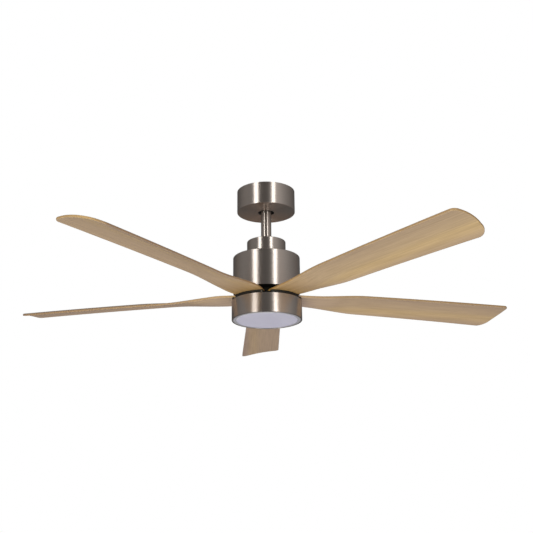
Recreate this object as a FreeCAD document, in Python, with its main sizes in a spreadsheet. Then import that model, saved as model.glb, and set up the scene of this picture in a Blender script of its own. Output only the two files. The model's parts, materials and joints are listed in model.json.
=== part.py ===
import FreeCAD, Part
import math
import os

import Sketcher

# Ceiling fan with five wood-grain blades and a flush LED light.
# Origin: centre of the ceiling bracket's two fixing slots, on the ceiling plane.
# +Z up, so the fan hangs below zero. All sizes in millimetres.

DIMENSIONS = [
    ("canopy_radius", 71.3),
    ("canopy_depth", 54.4),
    ("canopy_hole_radius", 19.75),
    ("skin", 1.2),
    ("edge_round", 1.0),
    ("bracket_steel", 2.5),
    ("fixing_spacing", 100.0),
    ("fixing_slot_length", 14.0),
    ("fixing_slot_width", 5.6),
    ("cable_hole_radius", 12.0),
    ("ball_radius", 24.0),
    ("ball_drop", 26.0),
    ("ball_play", 0.2),
    ("seat_ring_wall", 2.8),
    ("rod_radius", 12.7),
    ("rod_wall", 2.0),
    ("rod_top", 10.0),
    ("rod_bottom", 158.0),
    ("pin_radius", 2.5),
    ("fit_play", 0.05),
    ("cover_radius", 47.2),
    ("cover_top", 131.4),
    ("housing_radius", 81.1),
    ("housing_top", 173.1),
    ("housing_bottom", 261.5),
    ("housing_skin", 1.5),
    ("shaft_radius", 8.5),
    ("shaft_bore_radius", 6.8),
    ("shaft_bottom", 298.0),
    ("rotor_radius", 74.0),
    ("rotor_top", 203.0),
    ("rotor_split", 256.0),
    ("rotor_wall", 3.0),
    ("rotor_bottom", 260.0),
    ("bearing_outer", 17.5),
    ("bearing_width", 10.0),
    ("stator_radius", 65.4),
    ("stator_top", 223.0),
    ("stator_height", 20.0),
    ("hub_radius", 82.8),
    ("hub_bottom", 281.5),
    ("boss_radius", 46.0),
    ("blade_count", 5),
    ("blade_thickness", 5.0),
    ("blade_seat", 275.2),
    ("blade_length", 645.3),
    ("blade_lead_width", 40.0),
    ("blade_lead_tip", 48.6),
    ("blade_trail_width", 45.2),
    ("blade_trail_tip", 61.6),
    ("blade_pitch", 11.9),
    ("blade_rise", 7.1),
    ("blade_camber", 5.6),
    ("first_blade_angle", -52.7),
    ("light_radius", 84.4),
    ("light_top", 282.7),
    ("light_bottom", 329.2),
    ("light_floor", 290.0),
    ("light_lip", 3.5),
    ("diffuser_radius", 73.3),
    ("diffuser_wall", 2.0),
]

doc = FreeCAD.newDocument("ceiling_fan")
sheet = doc.addObject("Spreadsheet::Sheet", "Dims")
for row, (alias, value) in enumerate(DIMENSIONS, start=1):
    sheet.set(f"A{row}", alias)
    sheet.set(f"B{row}", str(value))
    sheet.setAlias(f"B{row}", alias)
doc.recompute()

UP = FreeCAD.Vector(0, 0, 1)
NODES = []


class Size:
    """A length worked out from the sheet: its value, and the expression that keeps it bound."""

    def __init__(self, value, text=None):
        self.value = float(value)
        self.text = text or f"({self.value:.4f})"

    def __add__(self, other):
        other = as_size(other)
        return Size(self.value + other.value, f"({self.text} + {other.text})")

    def __sub__(self, other):
        other = as_size(other)
        return Size(self.value - other.value, f"({self.text} - {other.text})")

    def __mul__(self, other):
        other = as_size(other)
        return Size(self.value * other.value, f"({self.text} * {other.text})")

    def __truediv__(self, other):
        other = as_size(other)
        return Size(self.value / other.value, f"({self.text} / {other.text})")

    def __neg__(self):
        return Size(-self.value, f"(-1 * {self.text})")

    def __radd__(self, other):
        return as_size(other) + self

    def __rsub__(self, other):
        return as_size(other) - self

    def __rmul__(self, other):
        return as_size(other) * self


def as_size(value):
    return value if isinstance(value, Size) else Size(value)


class Sheet:
    """Reads the sheet's aliases as bound sizes: dims.rod_radius."""

    def __getattr__(self, alias):
        return Size(sheet.get(alias), f"Dims.{alias}")


dims = Sheet()


def bind(obj, prop, size):
    obj.setExpression(prop, as_size(size).text)


def node(obj, label):
    """Marks a finished object as one piece of the fan, written to a file of its own."""
    obj.Label = label
    NODES.append(obj)
    return obj


# ---------------------------------------------------------------- building blocks

def add_point_rule(sketch, line, axis, size):
    """Holds a line's first point at a bound distance from the sketch's origin along one axis."""
    size = as_size(size)
    kind, other_axis = ("DistanceX", -2) if axis == "x" else ("DistanceY", -1)
    if abs(size.value) < 1e-9:
        sketch.addConstraint(Sketcher.Constraint("PointOnObject", line, 1, other_axis))
        return
    index = sketch.addConstraint(Sketcher.Constraint(kind, -1, 1, line, 1, size.value))
    sketch.setExpression(f"Constraints[{index}]", size.text)


def outline_sketch(body, name, role, corners):
    """A closed outline of straight lines whose corners are bound to the sheet."""
    plane = next(f for f in body.Origin.OriginFeatures if f.Role == role)
    sketch = body.newObject("Sketcher::SketchObject", name)
    sketch.AttachmentSupport = [(plane, "")]
    sketch.MapMode = "FlatFace"
    points = [FreeCAD.Vector(as_size(a).value, as_size(b).value, 0) for a, b in corners]
    count = len(points)
    for i in range(count):
        sketch.addGeometry(Part.LineSegment(points[i], points[(i + 1) % count]), False)
    for i in range(count):
        sketch.addConstraint(Sketcher.Constraint("Coincident", i, 2, (i + 1) % count, 1))
    for i, (a, b) in enumerate(corners):
        add_point_rule(sketch, i, "x", a)
        add_point_rule(sketch, i, "y", b)
    return sketch


def turned(name, corners):
    """A body turned about the fan's axis from a half section of (radius, height) corners."""
    body = doc.addObject("PartDesign::Body", name)
    sketch = outline_sketch(body, f"{name}_section", "XZ_Plane", corners)
    turn = body.newObject("PartDesign::Revolution", f"{name}_turn")
    turn.Profile = sketch
    turn.ReferenceAxis = (sketch, ["V_Axis"])
    turn.Angle = 360.0
    body.Tip = turn
    doc.recompute()
    return body


def round_edges(body, circles, radius):
    """Rounds the body's circular edges given as (radius, height) pairs."""
    solid = body.Tip
    names = []
    for index, edge in enumerate(solid.Shape.Edges, start=1):
        if not isinstance(edge.Curve, Part.Circle):
            continue
        for ring, height in circles:
            same_ring = abs(edge.Curve.Radius - as_size(ring).value) < 0.01
            same_height = abs(edge.Curve.Center.z - as_size(height).value) < 0.01
            if same_ring and same_height:
                names.append(f"Edge{index}")
    fillet = body.newObject("PartDesign::Fillet", f"{body.Name}_round")
    fillet.Base = (solid, names)
    bind(fillet, "Radius", radius)
    body.Tip = fillet
    doc.recompute()
    return body


def cylinder(name, radius, low, high, x=0, y=0):
    """An upright cylinder between two heights."""
    part = doc.addObject("Part::Cylinder", name)
    bind(part, "Radius", radius)
    bind(part, "Height", as_size(high) - low)
    bind(part, "Placement.Base.x", x)
    bind(part, "Placement.Base.y", y)
    bind(part, "Placement.Base.z", low)
    return part


def crosswise(name, radius, start, end, height, azimuth):
    """A cylinder lying across the axis, from one distance to another along an azimuth."""
    part = doc.addObject("Part::Cylinder", name)
    angle = math.radians(azimuth)
    outward = FreeCAD.Vector(math.cos(angle), math.sin(angle), 0)
    part.Placement = FreeCAD.Placement(FreeCAD.Vector(), FreeCAD.Rotation(UP, outward))
    bind(part, "Radius", radius)
    bind(part, "Height", as_size(end) - start)
    bind(part, "Placement.Base.x", as_size(start) * math.cos(angle))
    bind(part, "Placement.Base.y", as_size(start) * math.sin(angle))
    bind(part, "Placement.Base.z", height)
    return part


def bolt_cylinders(name, ring, radius, low, high, count, first):
    """Upright cylinders spaced evenly on a circle, used as hole cutters."""
    cutters = []
    for i in range(count):
        angle = math.radians(first + i * 360.0 / count)
        x = as_size(ring) * math.cos(angle)
        y = as_size(ring) * math.sin(angle)
        cutters.append(cylinder(f"{name}{i}", radius, low, high, x, y))
    return cutters


def block(name, low, high):
    """A box between two corners."""
    part = doc.addObject("Part::Box", name)
    for side, axis, a, b in zip(("Length", "Width", "Height"), "xyz", low, high):
        bind(part, side, as_size(b) - a)
        bind(part, f"Placement.Base.{axis}", a)
    return part


def ball(name, radius, height):
    part = doc.addObject("Part::Sphere", name)
    bind(part, "Radius", radius)
    bind(part, "Placement.Base.z", height)
    return part


def fused(name, pieces):
    result = pieces[0]
    for index, piece in enumerate(pieces[1:], start=1):
        step = doc.addObject("Part::Fuse", name if index == len(pieces) - 1 else f"{name}_join{index}")
        step.Base = result
        step.Tool = piece
        result = step
    doc.recompute()
    return result


def cut(name, base, tools):
    result = base
    for index, tool in enumerate(tools, start=1):
        step = doc.addObject("Part::Cut", name if index == len(tools) else f"{name}_cut{index}")
        step.Base = result
        step.Tool = tool
        result = step
    doc.recompute()
    return result


def common(name, base, tool):
    step = doc.addObject("Part::Common", name)
    step.Base = base
    step.Tool = tool
    doc.recompute()
    return step


def group(label, solids):
    """Identical small pieces that share one node as separate solids."""
    feature = doc.addObject("Part::Feature", label)
    feature.Shape = Part.makeCompound(solids)
    feature.Placement = FreeCAD.Placement()
    return node(feature, label)


def around(solid, count, first=0.0):
    """Copies of a solid spaced evenly about the fan's axis."""
    copies = []
    for i in range(count):
        copy = solid.copy()
        copy.rotate(FreeCAD.Vector(), UP, first + i * 360.0 / count)
        copies.append(copy)
    return copies


def number(alias):
    return float(sheet.get(alias))


def rod_solid(radius, low, high, x=0.0, y=0.0):
    return Part.makeCylinder(radius, high - low, FreeCAD.Vector(x, y, low))


def pan_screw(head_radius, head_height, shank_radius, length, socket=1.2):
    """A pan-head screw along +Z: shank from zero up, slotted head below zero."""
    head = Part.makeCylinder(head_radius, head_height, FreeCAD.Vector(0, 0, -head_height))
    rim = [e for e in head.Edges if abs(e.BoundBox.ZMin + head_height) < 1e-6 and e.Closed]
    head = head.makeFillet(0.35 * head_height, rim[:1])
    slot = Part.makeBox(2.4 * head_radius, 0.7, socket)
    slot.translate(FreeCAD.Vector(-1.2 * head_radius, -0.35, -head_height))
    shank = Part.makeCylinder(shank_radius, length)
    return head.cut(slot).fuse(shank).removeSplitter()


def moved(solid, x=0.0, y=0.0, z=0.0):
    copy = solid.copy()
    copy.translate(FreeCAD.Vector(x, y, z))
    return copy


def pointed(solid, direction, base):
    """A copy of a solid built along +Z, turned to point along a direction from a base point."""
    copy = solid.copy()
    turn = FreeCAD.Rotation(UP, direction)
    copy.Placement = FreeCAD.Placement(base, turn)
    return copy


def ring_solid(inner, outer, low, high):
    return rod_solid(outer, low, high).cut(rod_solid(inner, low - 1, high + 1))


# ---------------------------------------------------------------- ceiling mount

CANOPY_SCREW_ANGLES = (30.0, 150.0)
CANOPY_SCREW_DROP = 9.0
M4_RADIUS = 2.0
M3_RADIUS = 1.5
CHANNEL_REACH = 28.0             # half the folded channel's length
SOCKET_DROP = 15.5               # from the ball's centre to the underside of the socket plate
EAR_DROP = 16.0
EAR_REACH = 6.0                  # half an ear's width


def bracket_ears(plate_radius):
    """Tabs folded down at the plate's rim, for the canopy's screws."""
    steel = dims.bracket_steel
    ears = []
    for angle in CANOPY_SCREW_ANGLES:
        name = f"bracket_ear{int(angle)}"
        cos = math.cos(math.radians(angle))
        sin = math.sin(math.radians(angle))
        inner = plate_radius - steel
        ear = block(name, (inner, -EAR_REACH, -EAR_DROP), (plate_radius, EAR_REACH, -steel))
        ear.Placement = FreeCAD.Placement(FreeCAD.Vector(), FreeCAD.Rotation(UP, angle))
        bind(ear, "Placement.Base.x", inner * cos + EAR_REACH * sin)
        bind(ear, "Placement.Base.y", inner * sin - EAR_REACH * cos)
        bind(ear, "Placement.Base.z", -EAR_DROP)
        rim = cylinder(f"{name}_rim", plate_radius, -EAR_DROP, 0)
        ears.append(common(f"{name}_trim", ear, rim))
    return ears


def fixing_slots():
    """Cutters for the two slots that take the ceiling screws."""
    steel = dims.bracket_steel
    half_width = dims.fixing_slot_width / 2
    half_slot = (dims.fixing_slot_length - dims.fixing_slot_width) / 2
    cutters = []
    for side in (1, -1):
        centre = side * dims.fixing_spacing / 2
        for end in (-1, 1):
            name = f"slot_end{side + 1}{end + 1}"
            cutters.append(cylinder(name, half_width, -steel - 1, 1, 0, centre + end * half_slot))
        low = (-half_width, centre - half_slot, -steel - 1)
        high = (half_width, centre + half_slot, 1)
        cutters.append(block(f"slot_middle{side + 1}", low, high))
    return cutters


def ceiling_bracket():
    """Round ceiling plate, folded channel under it and a socket plate that the ball hangs in."""
    steel = dims.bracket_steel
    reach = CHANNEL_REACH
    plate_radius = dims.canopy_radius - dims.skin - 0.3
    plate = cylinder("bracket_plate", plate_radius, -steel, 0)
    inner_half = dims.ball_radius + dims.seat_ring_wall + 2.2
    outer_half = inner_half + steel
    seat_low = -dims.ball_drop - SOCKET_DROP
    back = block("bracket_side_back", (-reach, inner_half, seat_low), (reach, outer_half, -steel))
    front = block("bracket_side_front", (-reach, -outer_half, seat_low), (reach, -inner_half, -steel))
    socket = block("bracket_socket", (-reach, -inner_half, seat_low), (reach, inner_half, seat_low + steel))
    solid = fused("bracket_solid", [plate, socket, back, front] + bracket_ears(plate_radius))

    space_radius = dims.ball_radius + dims.seat_ring_wall + 2 * dims.ball_play
    ball_space = ball("bracket_ball_space", space_radius, -dims.ball_drop)
    entry_half = dims.rod_radius + 1
    entry_low = (0, -entry_half, seat_low - 1)
    entry = block("bracket_entry", entry_low, (reach + 2, entry_half, seat_low + steel + 1))
    cable = cylinder("bracket_cable_hole", dims.cable_hole_radius, -steel - 1, 1)
    threads = [crosswise(f"ear_thread{int(angle)}", M4_RADIUS + dims.fit_play, plate_radius - 8,
                         plate_radius + 2, -CANOPY_SCREW_DROP, angle) for angle in CANOPY_SCREW_ANGLES]
    cutters = [ball_space, entry, cable] + fixing_slots() + threads
    node(cut("ceiling_bracket", solid, cutters), "ceiling_bracket")


def canopy():
    """Drawn cup that hides the bracket, with a round hole for the rod to swing in."""
    low = -dims.canopy_depth
    inner = dims.canopy_radius - dims.skin
    body = turned("canopy_cup", [
        (dims.canopy_hole_radius, low),
        (dims.canopy_radius, low),
        (dims.canopy_radius, 0),
        (inner, 0),
        (inner, low + dims.skin),
        (dims.canopy_hole_radius, low + dims.skin),
    ])
    round_edges(body, [(dims.canopy_radius, low)], dims.edge_round)
    holes = [crosswise(f"canopy_hole{int(angle)}", M4_RADIUS + 0.2, inner - 5, dims.canopy_radius + 5,
                       -CANOPY_SCREW_DROP, angle) for angle in CANOPY_SCREW_ANGLES]
    node(cut("canopy", body, holes), "canopy")


def canopy_screws():
    screw = pan_screw(3.6, 2.0, M4_RADIUS, 8.0)
    outside = number("canopy_radius") + 0.05
    solids = []
    for angle in CANOPY_SCREW_ANGLES:
        out = FreeCAD.Vector(math.cos(math.radians(angle)), math.sin(math.radians(angle)), 0)
        solids.append(pointed(screw, -out, out * outside + UP * -CANOPY_SCREW_DROP))
    group("canopy_screws", solids)


def receiver_box():
    """Remote-control receiver beside the channel, on a foam pad under the plate."""
    near = -32.0
    far = -62.0
    half_width = 22.0
    low = -28.0
    gland_height = -16.0
    pad_low = -dims.bracket_steel - 2.5
    pad_inset = 2.0
    shell = block("receiver_shell", (far, -half_width, low), (near, half_width, pad_low))
    glands = []
    for side in (-1, 1):
        gland = crosswise(f"receiver_gland{side + 1}", 2.5, 0, 3, gland_height, 90 * side)
        bind(gland, "Placement.Base.x", 0.5 * (near + far))
        bind(gland, "Placement.Base.y", half_width * side)
        glands.append(gland)
    node(fused("receiver_box", [shell] + glands), "receiver_box")
    pad_start = (far + pad_inset, -half_width + pad_inset, pad_low)
    pad_end = (near - pad_inset, half_width - pad_inset, -dims.bracket_steel)
    node(block("receiver_pad", pad_start, pad_end), "receiver_pad")


def terminal_block():
    """Three-way supply terminal under the plate."""
    middle = 44.0
    half_depth = 8.0
    half_width = 18.0
    low = -16.0
    way_spacing = 11.0
    start = (middle - half_depth, -half_width, low)
    body = block("terminal_body", start, (middle + half_depth, half_width, -dims.bracket_steel))
    ways = []
    for way in (-1, 0, 1):
        ways.append(cylinder(f"terminal_well{way + 1}", 2.2, low - 1, low + 7, middle, way_spacing * way))
        wire_way = crosswise(f"terminal_wire{way + 1}", 1.8, middle - half_depth - 1,
                             middle + half_depth + 1, low + 5, 0)
        bind(wire_way, "Placement.Base.y", way_spacing * way)
        ways.append(wire_way)
    node(cut("terminal_block", body, ways), "terminal_block")


# ---------------------------------------------------------------- ball and rod

COUPLING_PIN_DROP = 149.0
COUPLING_CLIP_REACH = 23.5       # along the coupling pin, from the fan's axis
FLANGE_RADIUS = 34.0
FLANGE_THICKNESS = 5.0
COLLAR_RADIUS = 19.0
COLLAR_TOP = -140.0
MOTOR_BOLT_RING = 27.0
MOTOR_BOLT_RADIUS = 2.5
SET_SCREW_RADIUS = 3.0


def ball_seat_ring():
    """Nylon liner between the bracket's socket and the ball."""
    centre = -dims.ball_drop
    outer = ball("ring_outer", dims.ball_radius + dims.ball_play + dims.seat_ring_wall, centre)
    inner = ball("ring_inner", dims.ball_radius + dims.ball_play, centre)
    zone = cylinder("ring_zone", dims.ball_radius * 2, centre - 17.5, centre - 8)
    node(common("ball_seat_ring", cut("ring_shell", outer, [inner]), zone), "ball_seat_ring")


def hanger_ball():
    centre = -dims.ball_drop
    sphere = ball("ball_sphere", dims.ball_radius, centre)
    zone = cylinder("ball_zone", dims.ball_radius + 1, centre - 18, centre + 14)
    bore = cylinder("ball_bore", dims.rod_radius + dims.fit_play, centre - 30, centre + 30)
    pin_way = crosswise("ball_pin_way", dims.pin_radius + dims.fit_play, -30, 30, -dims.ball_drop, 0)
    node(cut("hanger_ball", common("ball_cut_ends", sphere, zone), [bore, pin_way]), "hanger_ball")


def downrod():
    tube = cylinder("rod_tube", dims.rod_radius, -dims.rod_bottom, -dims.rod_top)
    bore = cylinder("rod_bore", dims.rod_radius - dims.rod_wall, -dims.rod_bottom - 1, -dims.rod_top + 1)
    upper = crosswise("rod_upper_way", dims.pin_radius + dims.fit_play, -20, 20, -dims.ball_drop, 0)
    lower = crosswise("rod_lower_way", dims.pin_radius + dims.fit_play, -20, 20, -COUPLING_PIN_DROP, 90)
    node(cut("downrod", tube, [bore, upper, lower]), "downrod")


def rod_pins():
    node(crosswise("hanger_pin", dims.pin_radius, -22, 22, -dims.ball_drop, 0), "hanger_pin")
    shank = crosswise("pin_shank", dims.pin_radius, -22, 26, -COUPLING_PIN_DROP, 90)
    head = crosswise("pin_head", dims.pin_radius + 1.8, -24, -22, -COUPLING_PIN_DROP, 90)
    clip_way = cylinder("pin_clip_way", 1.05, -COUPLING_PIN_DROP - 4, -COUPLING_PIN_DROP + 4,
                        0, COUPLING_CLIP_REACH)
    node(cut("coupling_pin", fused("pin_solid", [shank, head]), [clip_way]), "coupling_pin")


def coupling_clip():
    """Hairpin clip through the coupling pin's end: one leg through the pin, one leg past its end."""
    wire = 1.0
    bend = 2.4
    middle = COUPLING_CLIP_REACH + bend
    height = -COUPLING_PIN_DROP + 5.5
    top = Part.makeTorus(bend, wire, FreeCAD.Vector(0, middle, height), FreeCAD.Vector(1, 0, 0))
    upper_half = Part.makeBox(10, 10, 10, FreeCAD.Vector(-5, middle - 5, height))
    loop = top.common(upper_half)
    leg = rod_solid(wire, -COUPLING_PIN_DROP - 7, height, 0, COUPLING_CLIP_REACH)
    outer = rod_solid(wire, -COUPLING_PIN_DROP - 5, height, 0, middle + bend)
    group("coupling_clip", [loop.fuse(leg).fuse(outer).removeSplitter()])


def motor_coupling():
    """Cast collar that the rod pins into, with a flange bolted to the motor."""
    step = -dims.rod_bottom - 1
    low = -dims.housing_top
    body = turned("coupling_cast", [
        (dims.shaft_radius + dims.fit_play, low),
        (FLANGE_RADIUS, low),
        (FLANGE_RADIUS, low + FLANGE_THICKNESS),
        (COLLAR_RADIUS, low + FLANGE_THICKNESS),
        (COLLAR_RADIUS, COLLAR_TOP),
        (dims.rod_radius + dims.fit_play, COLLAR_TOP),
        (dims.rod_radius + dims.fit_play, step),
        (dims.shaft_radius + dims.fit_play, step),
    ])
    pin_way = crosswise("coupling_pin_way", dims.pin_radius + dims.fit_play, -30, 30, -COUPLING_PIN_DROP, 90)
    screw_ways = []
    for azimuth in (0, 180):
        screw_ways.append(crosswise(f"coupling_screw_way{azimuth}", SET_SCREW_RADIUS + dims.fit_play,
                                    10, COLLAR_RADIUS + 1, -COUPLING_PIN_DROP - 1, azimuth))
    bolt_ways = bolt_cylinders("coupling_bolt_way", MOTOR_BOLT_RING, MOTOR_BOLT_RADIUS + dims.fit_play,
                               low - 1, low + FLANGE_THICKNESS + 1, 4, 45)
    node(cut("motor_coupling", body, [pin_way] + screw_ways + bolt_ways), "motor_coupling")


def coupling_set_screws():
    inner = number("rod_radius") + 0.02
    length = 8.5
    socket_depth = 3.0
    screw = Part.makeCylinder(SET_SCREW_RADIUS, length)
    socket = Part.makeCylinder(1.5, socket_depth, FreeCAD.Vector(0, 0, length - socket_depth))
    screw = screw.cut(socket)
    solids = []
    for sign in (1, -1):
        out = FreeCAD.Vector(sign, 0, 0)
        solids.append(pointed(screw, out, out * inner + UP * (-COUPLING_PIN_DROP - 1)))
    group("coupling_set_screws", solids)


def coupling_cover():
    top = -dims.cover_top
    low = -dims.housing_top + 0.1
    inner = dims.cover_radius - dims.skin
    body = turned("cover_cup", [
        (dims.rod_radius + 0.5, top),
        (dims.rod_radius + 0.5, top - dims.skin),
        (inner, top - dims.skin),
        (inner, low),
        (dims.cover_radius, low),
        (dims.cover_radius, top),
    ])
    node(round_edges(body, [(dims.cover_radius, top)], dims.edge_round * 2), "coupling_cover")


# ---------------------------------------------------------------- motor, standing parts

CONTROLLER_TOP = -188.4
CONTROLLER_POST_RING = 55.0
CIRCUIT_THICKNESS = 1.6
POST_RADIUS = 3.0

def motor_housing():
    top = -dims.housing_top
    low = -dims.housing_bottom
    inner = dims.housing_radius - dims.housing_skin
    body = turned("housing_cup", [
        (dims.shaft_radius + 0.5, top),
        (dims.shaft_radius + 0.5, top - dims.housing_skin),
        (inner, top - dims.housing_skin),
        (inner, low),
        (dims.housing_radius, low),
        (dims.housing_radius, top),
    ])
    round_edges(body, [(dims.housing_radius, top)], dims.edge_round * 2)
    holes = bolt_cylinders("housing_bolt_way", MOTOR_BOLT_RING, MOTOR_BOLT_RADIUS + dims.fit_play,
                           top - 5, top + 5, 4, 45)
    holes += bolt_cylinders("housing_post_way", CONTROLLER_POST_RING, M3_RADIUS + dims.fit_play,
                            top - 5, top + 5, 3, 90)
    node(cut("motor_housing", body, holes), "motor_housing")


def motor_plate():
    """Thick washer inside the housing that the four coupling bolts pull up against."""
    high = -dims.housing_top - dims.housing_skin
    low = high - 6
    body = turned("plate_blank", [
        (dims.shaft_radius + dims.fit_play, low),
        (FLANGE_RADIUS, low),
        (FLANGE_RADIUS, high),
        (dims.shaft_radius + dims.fit_play, high),
    ])
    ways = bolt_cylinders("plate_bolt_way", MOTOR_BOLT_RING, MOTOR_BOLT_RADIUS + dims.fit_play,
                          low - 2, high + 2, 4, 45)
    node(cut("motor_plate", body, ways), "motor_plate")


def housing_bolts():
    """Four hex bolts through the coupling's flange and the housing into the plate."""
    flange_top = -number("housing_top") + FLANGE_THICKNESS
    head = hexagon(8.0, flange_top, flange_top + 3.5)
    solid = head.fuse(rod_solid(MOTOR_BOLT_RADIUS, flange_top - 12, flange_top))
    solid.translate(FreeCAD.Vector(MOTOR_BOLT_RING, 0, 0))
    group("housing_bolts", around(solid, 4, 45))


def hexagon(across_flats, low, high):
    """A six-sided solid between two heights."""
    corner = across_flats / math.sqrt(3)
    points = []
    for k in range(7):
        angle = math.radians(60 * k)
        points.append(FreeCAD.Vector(corner * math.cos(angle), corner * math.sin(angle), low))
    return Part.Face(Part.makePolygon(points)).extrude(FreeCAD.Vector(0, 0, high - low))


def motor_shaft():
    """Fixed hollow shaft: carries the stator and the light, and passes the wires."""
    tube = cylinder("shaft_tube", dims.shaft_radius, -dims.shaft_bottom, -dims.rod_bottom - 2)
    bore = cylinder("shaft_bore", dims.shaft_bore_radius, -dims.shaft_bottom - 1, -dims.rod_bottom)
    side = crosswise("shaft_wire_way", 3, 0, 12, -195, 180)
    node(cut("motor_shaft", tube, [bore, side]), "motor_shaft")


def shaft_circlips():
    inner = number("shaft_radius") + 0.02
    solids = []
    for low in (-number("rotor_top") - 3.0 + 0.1, -number("rotor_split") - 1.3):
        ring = ring_solid(inner, inner + 2.6, low, low + 1.2)
        mouth = Part.makeBox(20, 4, 3, FreeCAD.Vector(0, -2, low - 1))
        solids.append(ring.cut(mouth))
    group("shaft_circlips", solids)


def controller_board():
    """Motor controller: ring board hung on three posts, parts on its underside."""
    top = CONTROLLER_TOP
    under = top - CIRCUIT_THICKNESS
    board = cylinder("board_disc", 62, under, top)
    hole = cylinder("board_hole", 24, under - 1, top + 1)
    ways = bolt_cylinders("board_post_way", CONTROLLER_POST_RING, M3_RADIUS + dims.fit_play,
                          under - 1, top + 1, 3, 90)
    node(cut("controller_board", board, [hole] + ways), "controller_board")

    can = rod_solid(6.5, under - 8.5, under, 0, 42)
    chip = Part.makeBox(12, 12, 1.8, FreeCAD.Vector(-6, 32, under - 1.8))
    switch = Part.makeBox(9, 4.5, 8, FreeCAD.Vector(-4.5, 40, under - 8))
    inductor = ring_solid(3.5, 8, under - 7, under)
    inductor.translate(FreeCAD.Vector(40, 0, 0))
    group("board_parts", around(can, 3, 20) + around(chip, 1, 180) + around(switch, 6, 50)
          + around(inductor, 1, 205))

    post_top = -number("housing_top") - number("housing_skin")
    post = rod_solid(POST_RADIUS, top, post_top).fuse(rod_solid(M3_RADIUS, under - 1.5, top))
    post = post.fuse(rod_solid(M3_RADIUS, post_top, post_top + 1.4))
    post = post.removeSplitter()
    post.translate(FreeCAD.Vector(CONTROLLER_POST_RING, 0, 0))
    group("board_posts", around(post, 3, 90))


def stator():
    """Twelve-tooth stator on a hub fixed to the shaft, one coil round each tooth."""
    top = -number("stator_top")
    low = top - number("stator_height")
    teeth = 12
    outer = number("stator_radius")
    shoe_inner = outer - 4.0
    core = ring_solid(22, 34, low, top)
    tooth = Part.makeBox(shoe_inner - 33 + 2, 6, top - low, FreeCAD.Vector(33, -3, low))
    shoe = ring_solid(shoe_inner, outer, low, top)
    half = math.radians(12.5)
    reach = 2 * outer
    corners = [FreeCAD.Vector(0, 0, low),
               FreeCAD.Vector(reach * math.cos(half), -reach * math.sin(half), low),
               FreeCAD.Vector(reach * math.cos(half), reach * math.sin(half), low),
               FreeCAD.Vector(0, 0, low)]
    wedge = Part.Face(Part.makePolygon(corners)).extrude(FreeCAD.Vector(0, 0, top - low))
    shoe = shoe.common(wedge)
    arms = around(tooth.fuse(shoe), teeth)
    core = core.multiFuse(arms).removeSplitter()
    group("stator_core", [core])

    coil = Part.makeBox(22, 13, top - low + 8, FreeCAD.Vector(37, -6.5, low - 4))
    upright = [e for e in coil.Edges if abs(e.BoundBox.XLength - 22) < 1e-6]
    coil = coil.makeFillet(3.0, upright)
    gap = Part.makeBox(24, 6.4, top - low + 0.4, FreeCAD.Vector(36, -3.2, low - 0.2))
    group("stator_windings", around(coil.cut(gap), teeth))

    inner = dims.shaft_radius + dims.fit_play
    body = turned("hub_blank", [
        (inner, -dims.stator_top - dims.stator_height - 2),
        (13, -dims.stator_top - dims.stator_height - 2),
        (13, -dims.stator_top - dims.stator_height + 2),
        (21.95, -dims.stator_top - dims.stator_height + 2),
        (21.95, -dims.stator_top - 2),
        (13, -dims.stator_top - 2),
        (13, -dims.stator_top + 3),
        (inner, -dims.stator_top + 3),
    ])
    node(body, "stator_hub")


# ---------------------------------------------------------------- rotor

HUB_SCREW_RING = 41.0
SCREW_HEAD_SPACE = 4.2
CLAMP_THICKNESS = 2.5
LOCK_SCREW_RADIUS = 1.6
LOCK_SCREW_TURN = -45.6          # from the first blade's line
LOCK_SCREW_START = 74.5

def bearing_levels():
    """Bottom height of the upper and of the lower bearing."""
    width = number("bearing_width")
    return (-number("rotor_top") - number("rotor_wall") - width, -number("rotor_split"))


def bearings():
    shaft = number("shaft_radius")
    outer = number("bearing_outer")
    width = number("bearing_width")
    middle = (shaft + outer) / 2
    ball_radius = 1.6
    race = ball_radius + 0.05
    inner_races = []
    outer_races = []
    balls = []
    for low in bearing_levels():
        inner_races.append(ring_solid(shaft + 0.02, middle - race, low, low + width))
        outer_races.append(ring_solid(middle + race, outer, low, low + width))
        one = Part.makeSphere(ball_radius, FreeCAD.Vector(middle, 0, low + width / 2))
        balls += around(one, 9)
    group("bearing_inner_races", inner_races)
    group("bearing_outer_races", outer_races)
    group("bearing_balls", balls)


def rotor_case():
    """Upper half of the turning motor case, with the upper bearing's seat."""
    top = -dims.rotor_top
    under = top - dims.rotor_wall
    seat = dims.bearing_outer + 0.02
    body = turned("case_blank", [
        (12, top),
        (12, under),
        (seat, under),
        (seat, under - dims.bearing_width - 1),
        (seat + 4, under - dims.bearing_width - 1),
        (seat + 4, under),
        (dims.rotor_radius - dims.rotor_wall, under),
        (dims.rotor_radius - dims.rotor_wall, -dims.rotor_split),
        (dims.rotor_radius, -dims.rotor_split),
        (dims.rotor_radius, top),
    ])
    round_edges(body, [(dims.rotor_radius, top)], dims.edge_round * 1.5)
    vents = []
    for i in range(8):
        angle = math.radians(i * 45)
        vents.append(cylinder(f"case_vent{i}", 7, -dims.rotor_top - 10, -dims.rotor_top + 5,
                              46 * math.cos(angle), 46 * math.sin(angle)))
    node(cut("rotor_case", body, vents), "rotor_case")


def rotor_cover():
    """Lower half of the motor case; the blade hub bolts to it."""
    top = -dims.rotor_split
    low = -dims.rotor_bottom
    seat = dims.bearing_outer + 0.02
    body = turned("lower_blank", [
        (12, low),
        (dims.rotor_radius, low),
        (dims.rotor_radius, top),
        (seat + 4, top),
        (seat + 4, top + dims.bearing_width + 1),
        (seat, top + dims.bearing_width + 1),
        (seat, top),
        (12, top),
    ])
    ways = bolt_cylinders("lower_hub_way", HUB_SCREW_RING, M4_RADIUS + dims.fit_play,
                          low - 1, low + 3, 5, first_gap())
    node(cut("rotor_cover", body, ways), "rotor_cover")


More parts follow.
